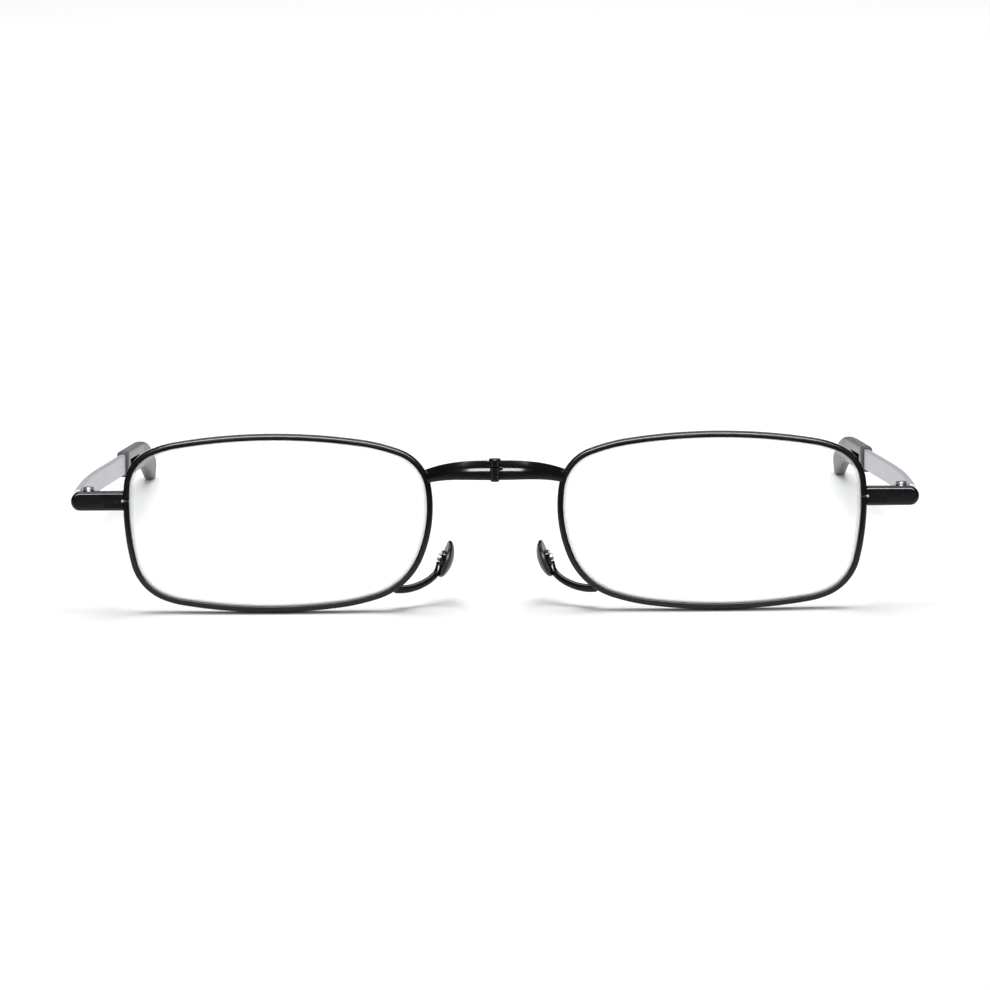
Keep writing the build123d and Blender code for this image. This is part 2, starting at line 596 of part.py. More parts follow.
def rim_height_at(x):
    """Height of the middle of the rim wire's lower nose corner at a given x."""
    index = 7
    radius = ARC_RADII[index] + RIM_FACE / 2
    centre = ARC_CENTRES[index]
    across = x - LENS_X - centre[0]
    return LENS_Z + centre[1] - sqrt(radius ** 2 - across ** 2)


# ---- bridge ---------------------------------------------------------------------------------------
BRIDGE_BOTTOM = BRIDGE_TOP - BRIDGE_HEIGHT
BRIDGE_FOOT_X = RIM_GAP / 2 + 1.2


def bridge_bar():
    """The +X half of the arch, from the rim to the middle."""
    foot_low = BRIDGE_FOOT_TOP - BRIDGE_FOOT_HEIGHT
    flat = 1.6
    front = Plane.XZ * make_face(Curve([
        Line((0, BRIDGE_BOTTOM), (0, BRIDGE_TOP)),
        Line((0, BRIDGE_TOP), (flat, BRIDGE_TOP)),
        Spline(
            [(flat, BRIDGE_TOP), (BRIDGE_FOOT_X, BRIDGE_FOOT_TOP)],
            tangents=[(1, 0), (1, -0.42)],
        ),
        Line((BRIDGE_FOOT_X, BRIDGE_FOOT_TOP), (BRIDGE_FOOT_X, foot_low)),
        Spline(
            [(BRIDGE_FOOT_X, foot_low), (flat, BRIDGE_BOTTOM)],
            tangents=[(-1, 0.3), (-1, 0)],
        ),
        Line((flat, BRIDGE_BOTTOM), (0, BRIDGE_BOTTOM)),
    ]))
    face_y = BRIDGE_AXIS_Y + 0.12
    foot_y = sag(LENS_FRONT_RADIUS + RIM_PROUD, LENS_X - BRIDGE_FOOT_X) - RIM_PROUD
    plan = make_face(Curve([
        Line((FACE_GAP / 2, face_y + BRIDGE_DEPTH), (FACE_GAP / 2, face_y)),
        Line((FACE_GAP / 2, face_y), (flat, face_y)),
        Spline([(flat, face_y), (BRIDGE_FOOT_X, foot_y)], tangents=[(1, 0), (1, 0.45)]),
        Line((BRIDGE_FOOT_X, foot_y), (BRIDGE_FOOT_X, foot_y + BRIDGE_DEPTH)),
        Spline(
            [(BRIDGE_FOOT_X, foot_y + BRIDGE_DEPTH), (flat, face_y + BRIDGE_DEPTH)],
            tangents=[(-1, -0.45), (-1, 0)],
        ),
        Line((flat, face_y + BRIDGE_DEPTH), (FACE_GAP / 2, face_y + BRIDGE_DEPTH)),
    ]))
    bar = extrude(front, amount=12, both=True) & extrude(plan, amount=40)
    bar = bar - outline_prism(RIM_FACE)
    relief = post(0, BRIDGE_AXIS_Y, 0, 40, BRIDGE_BARREL_R + FACE_GAP)
    return bar - relief


def bridge_knuckle(z0, z1):
    """A knuckle round the fold axis, with the web that joins it to the +X bar."""
    barrel = post(0, BRIDGE_AXIS_Y, z0, z1, BRIDGE_BARREL_R)
    web = block(0, BRIDGE_BARREL_R + 0.5, BRIDGE_AXIS_Y + 0.12, BRIDGE_AXIS_Y + BRIDGE_BARREL_R, z0, z1)
    return barrel + web


def make_bridge_right():
    """Half with the two outer knuckles, at the top and the bottom."""
    bar = bridge_bar()
    bar += bridge_knuckle(BRIDGE_BOTTOM, BRIDGE_BOTTOM + BRIDGE_EAR)
    bar += bridge_knuckle(BRIDGE_TOP - BRIDGE_EAR, BRIDGE_TOP)
    bar -= post(0, BRIDGE_AXIS_Y, 0, 40, BRIDGE_SCREW_R + SEAT_GAP)
    return mirror(bar, about=Plane.YZ)


def make_bridge_left():
    """Half with the middle knuckle."""
    bar = bridge_bar()
    low = BRIDGE_BOTTOM + BRIDGE_EAR + FACE_GAP
    high = BRIDGE_TOP - BRIDGE_EAR - FACE_GAP
    bar += bridge_knuckle(low, high)
    return bar - post(0, BRIDGE_AXIS_Y, 0, 40, BRIDGE_SCREW_R + RUN_GAP)


def make_bridge_screw():
    shank = post(0, BRIDGE_AXIS_Y, BRIDGE_BOTTOM - BRIDGE_NUT_H, BRIDGE_TOP + 0.3, BRIDGE_SCREW_R)
    head = post(0, BRIDGE_AXIS_Y, BRIDGE_TOP, BRIDGE_TOP + BRIDGE_HEAD_H, BRIDGE_HEAD_R)
    head = fillet(head.edges().sort_by(Axis.Z)[-1], BRIDGE_HEAD_H / 2)
    slot = slot_cut(0, BRIDGE_AXIS_Y, BRIDGE_TOP + BRIDGE_HEAD_H, 3, 0.26, BRIDGE_HEAD_H / 2, 20)
    return shank + head - slot


def make_bridge_nut():
    nut = post(0, BRIDGE_AXIS_Y, BRIDGE_BOTTOM - BRIDGE_NUT_H, BRIDGE_BOTTOM, BRIDGE_NUT_R)
    nut = chamfer(nut.edges().sort_by(Axis.Z)[0], BRIDGE_NUT_H / 2)
    return nut - post(0, BRIDGE_AXIS_Y, 0, 40, BRIDGE_SCREW_R + SEAT_GAP)


# ---- write every piece ----------------------------------------------------------------------------
SIDED = {
    "rim": make_rim,
    "lens": make_lens,
    "end_piece": make_end_piece,
    "rim_lock_block": make_lock_block,
    "rim_lock_screw": make_lock_screw,
    "hinge_block": make_hinge_block,
    "hinge_screw": make_hinge_screw,
    "hinge_leaf": make_hinge_leaf,
    "hinge_rivets": make_leaf_rivets,
    "temple_bar": make_temple_bar,
    "bar_stop": make_bar_stop,
    "temple_sleeve": make_sleeve,
    "sleeve_bush": make_sleeve_bush,
    "temple_tip": make_temple_tip,
    "pad_arm": make_pad_arm,
    "nose_pad": make_nose_pad,
    "pad_screw": make_pad_screw,
}

nodes = {
    "bridge_left": make_bridge_left(),
    "bridge_right": make_bridge_right(),
    "bridge_screw": make_bridge_screw(),
    "bridge_nut": make_bridge_nut(),
}
for name, make in SIDED.items():
    made = make()
    solids = made if isinstance(made, list) else made.solids()
    nodes[f"{name}_left"] = solids
    nodes[f"{name}_right"] = [mirror(solid, about=Plane.YZ) for solid in solids]
nodes = {name: made if isinstance(made, list) else made.solids() for name, made in nodes.items()}

# lean back until the rims' rear edges and the round ends of the ear tips are at the same height
round_run, round_rise = tip_round_centre()
tip_y = (BOW_END + SLIDE * (MOUTH_AT + SLEEVE_LENGTH + round_run)).Y
rim_y = rim_back_y(LENS_X, 0)
tip_z = END_Z + round_rise
span = hypot(tip_y - rim_y, tip_z)
LEAN = degrees(acos(SLEEVE_HEIGHT / 2 / span) - atan2(tip_y - rim_y, tip_z))
leaned = {name: [Rot(-LEAN, 0, 0) * solid for solid in solids] for name, solids in nodes.items()}

# the origin goes to the middle of the floor under the open glasses
boxes = [solid.bounding_box() for solids in leaned.values() for solid in solids]
middle_y = (min(box.min.Y for box in boxes) + max(box.max.Y for box in boxes)) / 2
floor_z = min(box.min.Z for box in boxes)
STAND = Pos(0, -middle_y, -floor_z) * Rot(-LEAN, 0, 0)
for name, solids in leaned.items():
    placed = [Pos(0, -middle_y, -floor_z) * solid for solid in solids]
    export_step(placed[0] if len(placed) == 1 else Compound(children=placed), f"parts/{name}.step")


def standing(x, y, z):
    """Where a point of the drawing is once the glasses stand, in millimetres."""
    return [round(v, 4) for v in (STAND * Pos(x, y, z)).position]


print("outline radii", [round(float(r), 1) for r in ARC_RADII])
print("lens centre thickness", round(LENS_CENTRE, 3), "lens middle", round(LENS_X, 3), round(LENS_Z, 3))
print("lean", round(LEAN, 5))
print("bridge_axis", standing(0, BRIDGE_AXIS_Y, BRIDGE_TOP - BRIDGE_HEIGHT / 2))
print("temple_hinge", standing(HINGE_X, HINGE_Y, END_Z))
print("slide_direction", [round(v, 6) for v in (Rot(-LEAN, 0, 0) * Pos(SLIDE)).position])
print("stroke", STROKE)
print("temple_outer_face", standing(BAR_X + BAR_THICKNESS / 2, BAR_START_Y + 5, END_Z))
print("nose_saddle", standing(0, PAD_Y, PAD_Z))
tip_middle = BOW_END + SLIDE * (MOUTH_AT + SLEEVE_LENGTH + tip_bend_end()[0] / 2)
print("ear_tip", standing(tip_middle.X, tip_middle.Y, END_Z + tip_bend_end()[1] / 4))
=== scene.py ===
import json
from math import acos, atan2, cos, degrees, pi, radians, sin, sqrt, tan

import bmesh
import bpy
import numpy as np
from mathutils import Matrix, Vector


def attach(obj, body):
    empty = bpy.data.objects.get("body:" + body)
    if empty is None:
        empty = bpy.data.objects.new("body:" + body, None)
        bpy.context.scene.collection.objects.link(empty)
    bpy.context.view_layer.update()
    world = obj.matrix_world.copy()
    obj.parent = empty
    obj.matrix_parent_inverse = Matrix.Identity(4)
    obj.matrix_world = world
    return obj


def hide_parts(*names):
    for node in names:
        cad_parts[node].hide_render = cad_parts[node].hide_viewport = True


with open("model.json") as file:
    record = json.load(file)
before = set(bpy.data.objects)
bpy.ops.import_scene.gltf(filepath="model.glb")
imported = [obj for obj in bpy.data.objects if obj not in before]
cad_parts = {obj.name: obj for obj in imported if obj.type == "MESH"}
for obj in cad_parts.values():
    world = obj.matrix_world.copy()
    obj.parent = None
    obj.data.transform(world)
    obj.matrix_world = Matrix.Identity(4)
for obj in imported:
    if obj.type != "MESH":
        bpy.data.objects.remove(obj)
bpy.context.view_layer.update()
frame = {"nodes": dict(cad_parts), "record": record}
scene = bpy.context.scene

# ---- from the drawing to where the glasses stand --------------------------------------------------
# Shapes are drawn upright, in millimetres: X to the wearer's left, Y back from the lenses, Z up, for
# the wearer's left side. The record's bridge hinge says how far the glasses lean and where they stand.
MM = 0.001
BRIDGE_PIN = np.array([0, -1.7, 22.4])      # middle of the bridge pin in the drawing
fold = frame["record"]["behaviour"]["joints"][0]
LEAN = atan2(-fold["axis"][1], -fold["axis"][2])


def leaned(points):
    """Turns points about X by the lean."""
    x, y, z = np.moveaxis(np.asarray(points, float), -1, 0)
    return np.stack([x, y * cos(LEAN) + z * sin(LEAN), z * cos(LEAN) - y * sin(LEAN)], -1)


SHIFT = np.array(fold["pos_m"]) - leaned(BRIDGE_PIN) * MM


def stand(points):
    """Points of the drawing, in metres, where the glasses stand."""
    return leaned(points) * MM + SHIFT


# ---- camera ---------------------------------------------------------------------------------------
CAMERA_DISTANCE = 0.8
CAMERA_ELEVATION = radians(6.0) + LEAN
CAMERA_ROLL = radians(-0.4)
VIEW_WIDTH = 0.1559          # width that the picture takes in at the lenses
SENSOR = 36.0
AIM = Vector(stand((0, 1.5, 18.25)))


def make_camera():
    """The camera stands in front of the glasses and above them, and looks down its own elevation
    at a point between the lenses."""
    data = bpy.data.cameras.new("camera")
    camera = bpy.data.objects.new("camera", data)
    scene.collection.objects.link(camera)
    back = Vector((0, -cos(CAMERA_ELEVATION), sin(CAMERA_ELEVATION)))
    camera.location = AIM + back * CAMERA_DISTANCE
    tilt = Matrix.Rotation(pi / 2 - CAMERA_ELEVATION, 3, "X")
    camera.rotation_euler = (tilt @ Matrix.Rotation(CAMERA_ROLL, 3, "Z")).to_euler()
    data.sensor_width = SENSOR
    data.lens = SENSOR * CAMERA_DISTANCE / VIEW_WIDTH
    data.clip_start = 0.01
    data.clip_end = 100
    scene.camera = camera


make_camera()


# ---- shader helpers -------------------------------------------------------------------------------
class Value:
    """A number socket. Arithmetic on it adds the Math nodes that do the sum."""

    def __init__(self, paint, socket):
        self.paint = paint
        self.socket = socket

    def math(self, operation, *others):
        inputs = {i: v for i, v in enumerate(others)}
        return self.paint.node("ShaderNodeMath", {"operation": operation}, inputs)

    def __radd__(self, other):
        return self.math("ADD", other, self)

    def __rsub__(self, other):
        return self.math("SUBTRACT", other, self)

    def __mul__(self, other):
        return self.math("MULTIPLY", self, other)

    def step(self, low, high):
        """0 below low, 1 above high, smooth between."""
        return self.paint.node(
            "ShaderNodeMapRange", {"interpolation_type": "SMOOTHSTEP"},
            {0: self, 1: low, 2: high, 3: 0.0, 4: 1.0},
        )


class Paint:
    """A material in the making: one Principled shader and the nodes that feed it."""

    def __init__(self, name):
        self.material = bpy.data.materials.new(name)
        self.material.use_nodes = True
        self.tree = self.material.node_tree
        self.shader = self.tree.nodes["Principled BSDF"]

    def node(self, kind, settings=None, inputs=None, output=0):
        """Adds a node: its settings first, then a value or a link for each named socket."""
        node = self.tree.nodes.new(kind)
        for key, value in (settings or {}).items():
            setattr(node, key, value)
        for key, value in (inputs or {}).items():
            self.feed(node.inputs[key], value)
        return Value(self, node.outputs[output])

    def feed(self, socket, value):
        if isinstance(value, Value):
            self.tree.links.new(value.socket, socket)
        else:
            socket.default_value = value

    def set(self, **inputs):
        """Sets sockets of the Principled shader, with _ for a space in their names."""
        for key, value in inputs.items():
            self.feed(self.shader.inputs[key.replace("_", " ")], value)
        return self

    def place(self, scale=(1, 1, 1)):
        """Position on the piece in metres, stretched by scale."""
        where = self.node("ShaderNodeTexCoord", output=3)
        return self.node("ShaderNodeMapping", {}, {"Vector": where, "Scale": scale})

    def noise(self, size, detail=2.0, roughness=0.5, stretch=(1, 1, 1)):
        """Noise from 0 to 1 whose grains are about size metres."""
        scale = tuple(s / size for s in stretch)
        return self.node(
            "ShaderNodeTexNoise", {},
            {"Vector": self.place(scale), "Scale": 1.0, "Detail": detail, "Roughness": roughness},
        )

    def bump(self, height, distance, strength=1.0):
        inputs = {"Height": height, "Distance": distance, "Strength": strength}
        self.set(Normal=self.node("ShaderNodeBump", {}, inputs))
        return self

    def mix(self, factor, a, b):
        """A colour between the colours a and b."""
        return self.node(
            "ShaderNodeMix", {"data_type": "RGBA"}, {0: factor, 6: (*a, 1), 7: (*b, 1)}, output=2,
        )


# ---- materials ------------------------------------------------------------------------------------
def black_enamel():
    """Glossy black paint on metal: a faint orange peel and a few softer patches."""
    paint = Paint("black_enamel")
    peel = paint.noise(0.0006, detail=3)
    wear = paint.noise(0.004, detail=4)
    paint.set(
        Base_Color=paint.mix(wear, (0.004, 0.004, 0.005), (0.009, 0.009, 0.011)),
        Roughness=0.1 + wear * 0.12, Specular_IOR_Level=0.3,
    )
    return paint.bump(peel, 0.000006).material


def satin_silver():
    """Brushed strip with a pale lavender cast; the brush marks run along the temple."""
    paint = Paint("satin_silver")
    lines = paint.noise(0.00012, detail=4, stretch=(1, 0.02, 1))
    tone = paint.noise(0.008, detail=3)
    paint.set(
        Base_Color=paint.mix(tone, (0.44, 0.44, 0.48), (0.52, 0.515, 0.565)),
        Metallic=0.35, Roughness=0.38 + lines * 0.14,
    )
    return paint.bump(lines, 0.000004).material


def grey_satin(name, low, high, rough):
    """Dark grey satin finish with a fine grain."""
    paint = Paint(name)
    grain = paint.noise(0.00015, detail=3)
    tone = paint.noise(0.006, detail=3)
    paint.set(Base_Color=paint.mix(tone, low, high), Roughness=rough + grain * 0.1)
    return paint.bump(grain, 0.000004).material


def turned_steel():
    paint = Paint("turned_steel")
    marks = paint.noise(0.0001, detail=3, stretch=(1, 1, 0.2))
    paint.set(Base_Color=(0.3, 0.3, 0.31, 1), Metallic=1.0, Roughness=0.26 + marks * 0.15)
    return paint.bump(marks, 0.000003).material


def clear_lens():
    """Thin clear plastic: what is behind shows straight through, with a gloss that grows at a grazing
    angle, and a ground edge that is pale grey. Over the outermost rings of both faces a pale grey band is
    painted in: painted shade that stands for the lens's thickness and the rim seen through it. Only the
    surface that a ray enters by has the gloss, because from within it would turn into a mirror."""
    paint = Paint("clear_lens")
    tree = paint.tree
    paint.set(Base_Color=(0.72, 0.75, 0.75, 1), Roughness=0.45)
    away = paint.node("ShaderNodeTexCoord", output=1)
    across = paint.node("ShaderNodeSeparateXYZ", {}, {0: away}, output=1)
    face = across.math("ABSOLUTE", across).step(0.55, 0.8)
    share = paint.node("ShaderNodeAttribute", {"attribute_name": "edge_share"}, {}, output=2)
    # painted shade: the outermost rings of both faces turn 40 % pale grey, for the lens's thickness seen
    # at the rim
    painted_edge_shade = share.step(0.968, 1.0) * 0.4
    face = face * (1 - painted_edge_shade)
    clear = tree.nodes.new("ShaderNodeBsdfTransparent")
    clear.inputs[0].default_value = (0.985, 0.99, 0.99, 1)
    gloss = tree.nodes.new("ShaderNodeBsdfGlossy")
    gloss.inputs["Roughness"].default_value = 0.02
    fresnel = paint.node("ShaderNodeFresnel", {}, {"IOR": 1.3})
    inner = paint.node("ShaderNodeNewGeometry", output=6)
    fresnel = fresnel * (1 - inner)
    film = tree.nodes.new("ShaderNodeMixShader")
    tree.links.new(fresnel.socket, film.inputs[0])
    tree.links.new(clear.outputs[0], film.inputs[1])
    tree.links.new(gloss.outputs[0], film.inputs[2])
    whole = tree.nodes.new("ShaderNodeMixShader")
    tree.links.new(face.socket, whole.inputs[0])
    tree.links.new(paint.shader.outputs[0], whole.inputs[1])
    tree.links.new(film.outputs[0], whole.inputs[2])
    tree.links.new(whole.outputs[0], tree.nodes["Material Output"].inputs["Surface"])
    return paint.material


def pad_plastic():
    """Black moulded plastic with a speckled gloss."""
    paint = Paint("pad_plastic")
    speckle = paint.noise(0.0004, detail=4)
    paint.set(
        Base_Color=(0.005, 0.005, 0.0055, 1),
        Roughness=0.22 + speckle * 0.25, Specular_IOR_Level=0.3,
    )
    return paint.bump(speckle, 0.00003).material


BLACK = black_enamel()
SILVER = satin_silver()
GREY = grey_satin("grey_paint", (0.14, 0.14, 0.143), (0.18, 0.18, 0.184), 0.32)
TIP = grey_satin("tip_plastic", (0.13, 0.13, 0.133), (0.165, 0.165, 0.168), 0.38)
# black plastic bush at the sleeve's mouth; its near-black tone also paints the shade in the gap where the
# strip enters the sleeve
BUSH_AND_MOUTH_SHADE = grey_satin("bush_plastic", (0.015, 0.015, 0.016), (0.022, 0.022, 0.023), 0.4)
STEEL = turned_steel()
LENS = clear_lens()
PAD = pad_plastic()

FINISHES = {
    "frame_paint": BLACK, "lens": LENS, "dark_screw": BLACK, "screw_steel": STEEL, "pad_plastic": PAD,
    "temple_silver": SILVER, "sleeve_paint": GREY, "bush_plastic": BUSH_AND_MOUTH_SHADE, "tip_plastic": TIP,
}
SLOTS = {part["node"]: part["material_slot"] for part in frame["record"]["subparts"]}
BODIES = {
    node: body for body, nodes in frame["record"]["behaviour"]["bodies"].items() for node in nodes
}
for name, node in frame["nodes"].items():
    for slot in node.material_slots:
        slot.material = FINISHES[SLOTS[name]]


# ---- mesh helpers ---------------------------------------------------------------------------------
def unit(vector):
    return vector / np.linalg.norm(vector, axis=-1, keepdims=True)


def rounded_loop(corners, steps=5):
    """Closed loop of points from corners (across, up, radius): each corner is an arc tangent to
    both of its sides, whose centre is on their bisector at radius / sin(half the angle)."""
    spots = np.array([corner[:2] for corner in corners], float)
    arcs = []
    neighbours = zip(spots, np.roll(spots, 1, 0), np.roll(spots, -1, 0), corners)
    for here, before, after, corner in neighbours:
        radius = corner[2]
        one = unit(before - here)
        two = unit(after - here)
        half = acos(one @ two) / 2
        centre = here + unit(one + two) * radius / sin(half)
        first = here + one * radius / tan(half) - centre
        last = here + two * radius / tan(half) - centre
        start = atan2(first[1], first[0])
        turn = (atan2(last[1], last[0]) - start + pi) % (2 * pi) - pi
        angles = start + turn * np.linspace(0, 1, steps + 1)
        arcs.append(centre + radius * np.stack([np.cos(angles), np.sin(angles)], -1))
    return np.concatenate(arcs)


def skin(rings, wrap=False):
    """Closed surface through a stack of rings of points, an array (rings, points, 3): quads between
    neighbouring rings, and a cap on the first and the last. With wrap there are no caps, and the
    last ring joins the first."""
    count, around = rings.shape[:2]
    ring = np.arange(around)
    after = np.roll(ring, -1)
    level = np.arange(count if wrap else count - 1)[:, None] * around
    above = (level + around) % (count * around)
    quads = np.stack([level + ring, level + after, above + after, above + ring], -1)
    faces = quads.reshape(-1, 4).tolist()
    if not wrap:
        faces += [ring[::-1].tolist(), ((count - 1) * around + ring).tolist()]
    return rings.reshape(-1, 3), faces


def swept(path, across, up, loop, wide=1.0, high=1.0):
    """Rings of a loop (across, up) carried along a path of points, with the two directions and the
    two scales given at each point of the path."""
    wide = np.broadcast_to(wide, len(path))[:, None, None]
    high = np.broadcast_to(high, len(path))[:, None, None]
    sideways = across[:, None] * loop[None, :, :1] * wide
    upward = up[:, None] * loop[None, :, 1:] * high
    return path[:, None] + sideways + upward


def turned(profile, centre, axis, side, steps=32):
    """Rings of a solid of revolution: profile holds (radius, height along the axis)."""
    axis = np.array(axis, float)
    side = np.array(side, float)
    other = np.cross(axis, side)
    angle = np.linspace(0, 2 * pi, steps, endpoint=False)[None, :, None]
    radius, height = np.array(profile, float).T[:, :, None, None]
    spoke = side * np.cos(angle) + other * np.sin(angle)
    return np.array(centre, float) + axis * height + spoke * radius


def finish_piece(name, mesh, body, nodes, material):
    piece = bpy.data.objects.new(name, mesh)
    scene.collection.objects.link(piece)
    mesh.materials.append(material)
    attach(piece, body)
    if nodes:
        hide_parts(*nodes)
    return piece


def smooth_mesh(mesh, sharp):
    """Normals outward, faces smooth, and edges over the sharp angle left crisp."""
    work = bmesh.new()
    work.from_mesh(mesh)
    bmesh.ops.recalc_face_normals(work, faces=work.faces)
    work.to_mesh(mesh)
    work.free()
    mesh.shade_smooth()
    mesh.set_sharp_from_angle(angle=radians(sharp))


def make_piece(name, shells, body, slot, nodes=(), mirrored=False, sharp=35):
    """A piece from closed shells of the drawing, on either side."""
    points = []
    faces = []
    count = 0
    for spots, polygons in shells:
        points.append(spots)
        faces += [[count + corner for corner in polygon] for polygon in polygons]
        count += len(spots)
    points = np.concatenate(points)
    if mirrored:
        points = points * (-1, 1, 1)
    mesh = bpy.data.meshes.new(name)
    mesh.from_pydata(stand(points), [], faces)
    smooth_mesh(mesh, sharp)
    return finish_piece(name, mesh, body, nodes, FINISHES[slot])


def make_pair(name, shells, body, slot, node, sharp=35):
    """The same piece on the left and, mirrored, on the right."""
    pieces = []
    for side, mirrored in (("left", False), ("right", True)):
        nodes = (f"{node}_{side}",)
        pieces.append(make_piece(f"{name}_{side}", shells, f"{body}_{side}", slot, nodes, mirrored, sharp))
    return pieces


# ---- lens outline ---------------------------------------------------------------------------------
LENS_WIDTH = 46.9            # clear opening of a rim
LENS_HEIGHT = 26.3
RIM_FACE = 0.95              # rim wire, seen from the front
RIM_GAP = 19.6               # between the two rims at the nose
LENS_X = RIM_GAP / 2 + RIM_FACE + LENS_WIDTH / 2
LENS_Z = RIM_FACE + LENS_HEIGHT / 2
END_RISE = 3.55              # end pieces and temples above the middle of the lenses
END_Z = LENS_Z + END_RISE
OUTLINE_START = -13.7        # direction of the outward normal where the first arc starts, in degrees
# direction of the outward normal where each arc ends, in degrees, and the arc's radius; the four
# sides have none, because they follow from the width and the height
OUTLINE_ARCS = [
    (4.0, None), (66.6, 5.8), (80.4, 17.3), (98.8, None), (110.8, 30.0), (171.4, 6.7),
    (203.3, None), (252.6, 10.3), (263.3, 33.2), (279.1, None), (291.6, 13.6), (346.3, 7.3),
]
TURN_STEP = 0.05             # degrees


def solved_outline():
    """Points of the outline by the direction of its normal. Going round it, the point moves along
    (-sin, cos) of the direction times the radius; the four unknown radii make the outline close,
    and make it as wide and as high as the lens."""
    turns = np.arange(0, 360 + TURN_STEP / 2, TURN_STEP) + OUTLINE_START
    middle = np.radians((turns[1:] + turns[:-1]) / 2)
    step = np.stack([-np.sin(middle), np.cos(middle)], -1) * radians(TURN_STEP)
    ends = np.array([end for end, _ in OUTLINE_ARCS])
    arc = np.searchsorted(ends, np.degrees(middle))
    moves = (arc == np.arange(len(ends))[:, None])[:, :, None] * step
    walks = np.concatenate([np.zeros((len(ends), 1, 2)), np.cumsum(moves, 1)], 1)
    at = {angle: int(round((angle - OUTLINE_START) / TURN_STEP)) for angle in (0, 90, 180, 270)}
    rules = np.array([
        walks[:, -1, 0], walks[:, -1, 1],
        walks[:, at[0], 0] - walks[:, at[180], 0], walks[:, at[90], 1] - walks[:, at[270], 1],
    ])
    radii = np.array([radius or 0 for _, radius in OUTLINE_ARCS])
    sides = radii == 0
    wanted = np.array([0, 0, LENS_WIDTH, LENS_HEIGHT])
    radii[sides] = np.linalg.solve(rules[:, sides], wanted - rules @ radii)
    points = np.tensordot(radii, walks, 1)
    return turns, points - (points.max(0) + points.min(0)) / 2


OUTLINE_TURNS, OUTLINE = solved_outline()


def outline_at(turns):
    """Points of the outline and its outward directions, at normals given in degrees."""
    wrapped = (turns - OUTLINE_START) % 360 + OUTLINE_START
    points = np.stack([np.interp(wrapped, OUTLINE_TURNS, OUTLINE[:, i]) for i in (0, 1)], -1)
    angle = np.radians(turns)
    return points, np.stack([np.cos(angle), np.sin(angle)], -1)


def sag(radius, reach):
    """Depth of a ball's surface at a distance from its axis."""
    return radius - np.sqrt(radius ** 2 - reach ** 2)


def from_front(flat, depth):
    """Places points (across, up) about the middle of the lens, at depths Y."""
    depth = np.broadcast_to(depth, flat.shape[:-1])
    return np.stack([LENS_X + flat[..., 0], depth, LENS_Z + flat[..., 1]], -1)


# ---- rims and lenses ------------------------------------------------------------------------------
RIM_DEPTH = 1.9
RIM_PROUD = 0.45             # rim front ahead of the lens front
RIM_SPLIT = 0.1              # slit where the rim opens to take the lens
LENS_FRONT_RADIUS = 150.0
LENS_BACK_RADIUS = 394.0
LENS_EDGE = 1.0              # thickness at the widest point
LENS_CENTRE = (                # thickness in the middle
    LENS_EDGE + sag(LENS_FRONT_RADIUS, LENS_WIDTH / 2) - sag(LENS_BACK_RADIUS, LENS_WIDTH / 2)
)
BEVEL_DEPTH = 0.4            # ridge round the lens that sits in the rim's groove
BEVEL_WIDTH = 0.66
LENS_GAP = 0.04              # clearance of the lens in the rim
SLIT_RADIUS = 39.4           # radius of the rim's temple side, where it is slit


def make_rims():
    """Grooved wire: a rounded section (outward, back) carried round the outline on a ball of
    150.45 mm, from one side of the slit to the other."""
    groove = BEVEL_WIDTH / 2 + LENS_GAP
    seat = RIM_PROUD + LENS_EDGE / 2
    loop = rounded_loop([
        (0, 0, 0.14), (RIM_FACE, 0, 0.3), (RIM_FACE, RIM_DEPTH, 0.34), (0, RIM_DEPTH, 0.16),
        (0, seat + groove, 0.03), (BEVEL_DEPTH + LENS_GAP, seat + groove, 0.03),
        (BEVEL_DEPTH + LENS_GAP, seat - groove, 0.03), (0, seat - groove, 0.03),
    ])
    side = OUTLINE_TURNS < 66
    slit = np.interp(END_RISE, OUTLINE[side, 1], OUTLINE_TURNS[side])
    half = degrees(RIM_SPLIT / 2 / SLIT_RADIUS)
    turns = np.linspace(slit + half, slit + 360 - half, 480)
    points, outward = outline_at(turns)
    flat = points[:, None] + outward[:, None] * loop[None, :, :1]
    ball = LENS_FRONT_RADIUS + RIM_PROUD
    depth = sag(ball, np.linalg.norm(flat, axis=-1)) - RIM_PROUD + loop[None, :, 1]
    make_pair("rim_wire", [skin(from_front(flat, depth))], "front", "frame_paint", "rim")


def make_lenses():
    """Meniscus lens: rings that grow from the middle of the front to the edge, over the ridge that
    sits in the rim's groove, and shrink again over the back."""
    turns = np.linspace(0, 360, 240, endpoint=False)
    points, outward = outline_at(turns)
    edge = points - outward * LENS_GAP
    crest = points + outward * (BEVEL_DEPTH - LENS_GAP)
    reach = np.linalg.norm(edge, axis=-1)
    middle = sag(LENS_FRONT_RADIUS, reach) + LENS_EDGE / 2
    rings = []
    sizes = 1 - np.linspace(0.995, 0, 18) ** 1.5
    for size in sizes:
        rings.append(from_front(edge * size, sag(LENS_FRONT_RADIUS, reach * size)))
    for flat, depth in ((edge, -1), (crest, -0.5), (crest, 0.5), (edge, 1)):
        rings.append(from_front(flat, middle + depth * BEVEL_WIDTH / 2))
    for size in sizes[::-1]:
        rings.append(from_front(edge * size, LENS_CENTRE + sag(LENS_BACK_RADIUS, reach * size)))
    # how far out each ring lies; the lens shader paints a pale grey shade band where this is near 1
    shares = np.concatenate([sizes, np.ones(4), sizes[::-1]])
    for lens in make_pair("lens_clear", [skin(np.array(rings))], "front", "lens", "lens", sharp=28):
        share = lens.data.attributes.new("edge_share", "FLOAT", "POINT")
        share.data.foreach_set("value", np.repeat(shares, len(turns)).astype(np.float32))


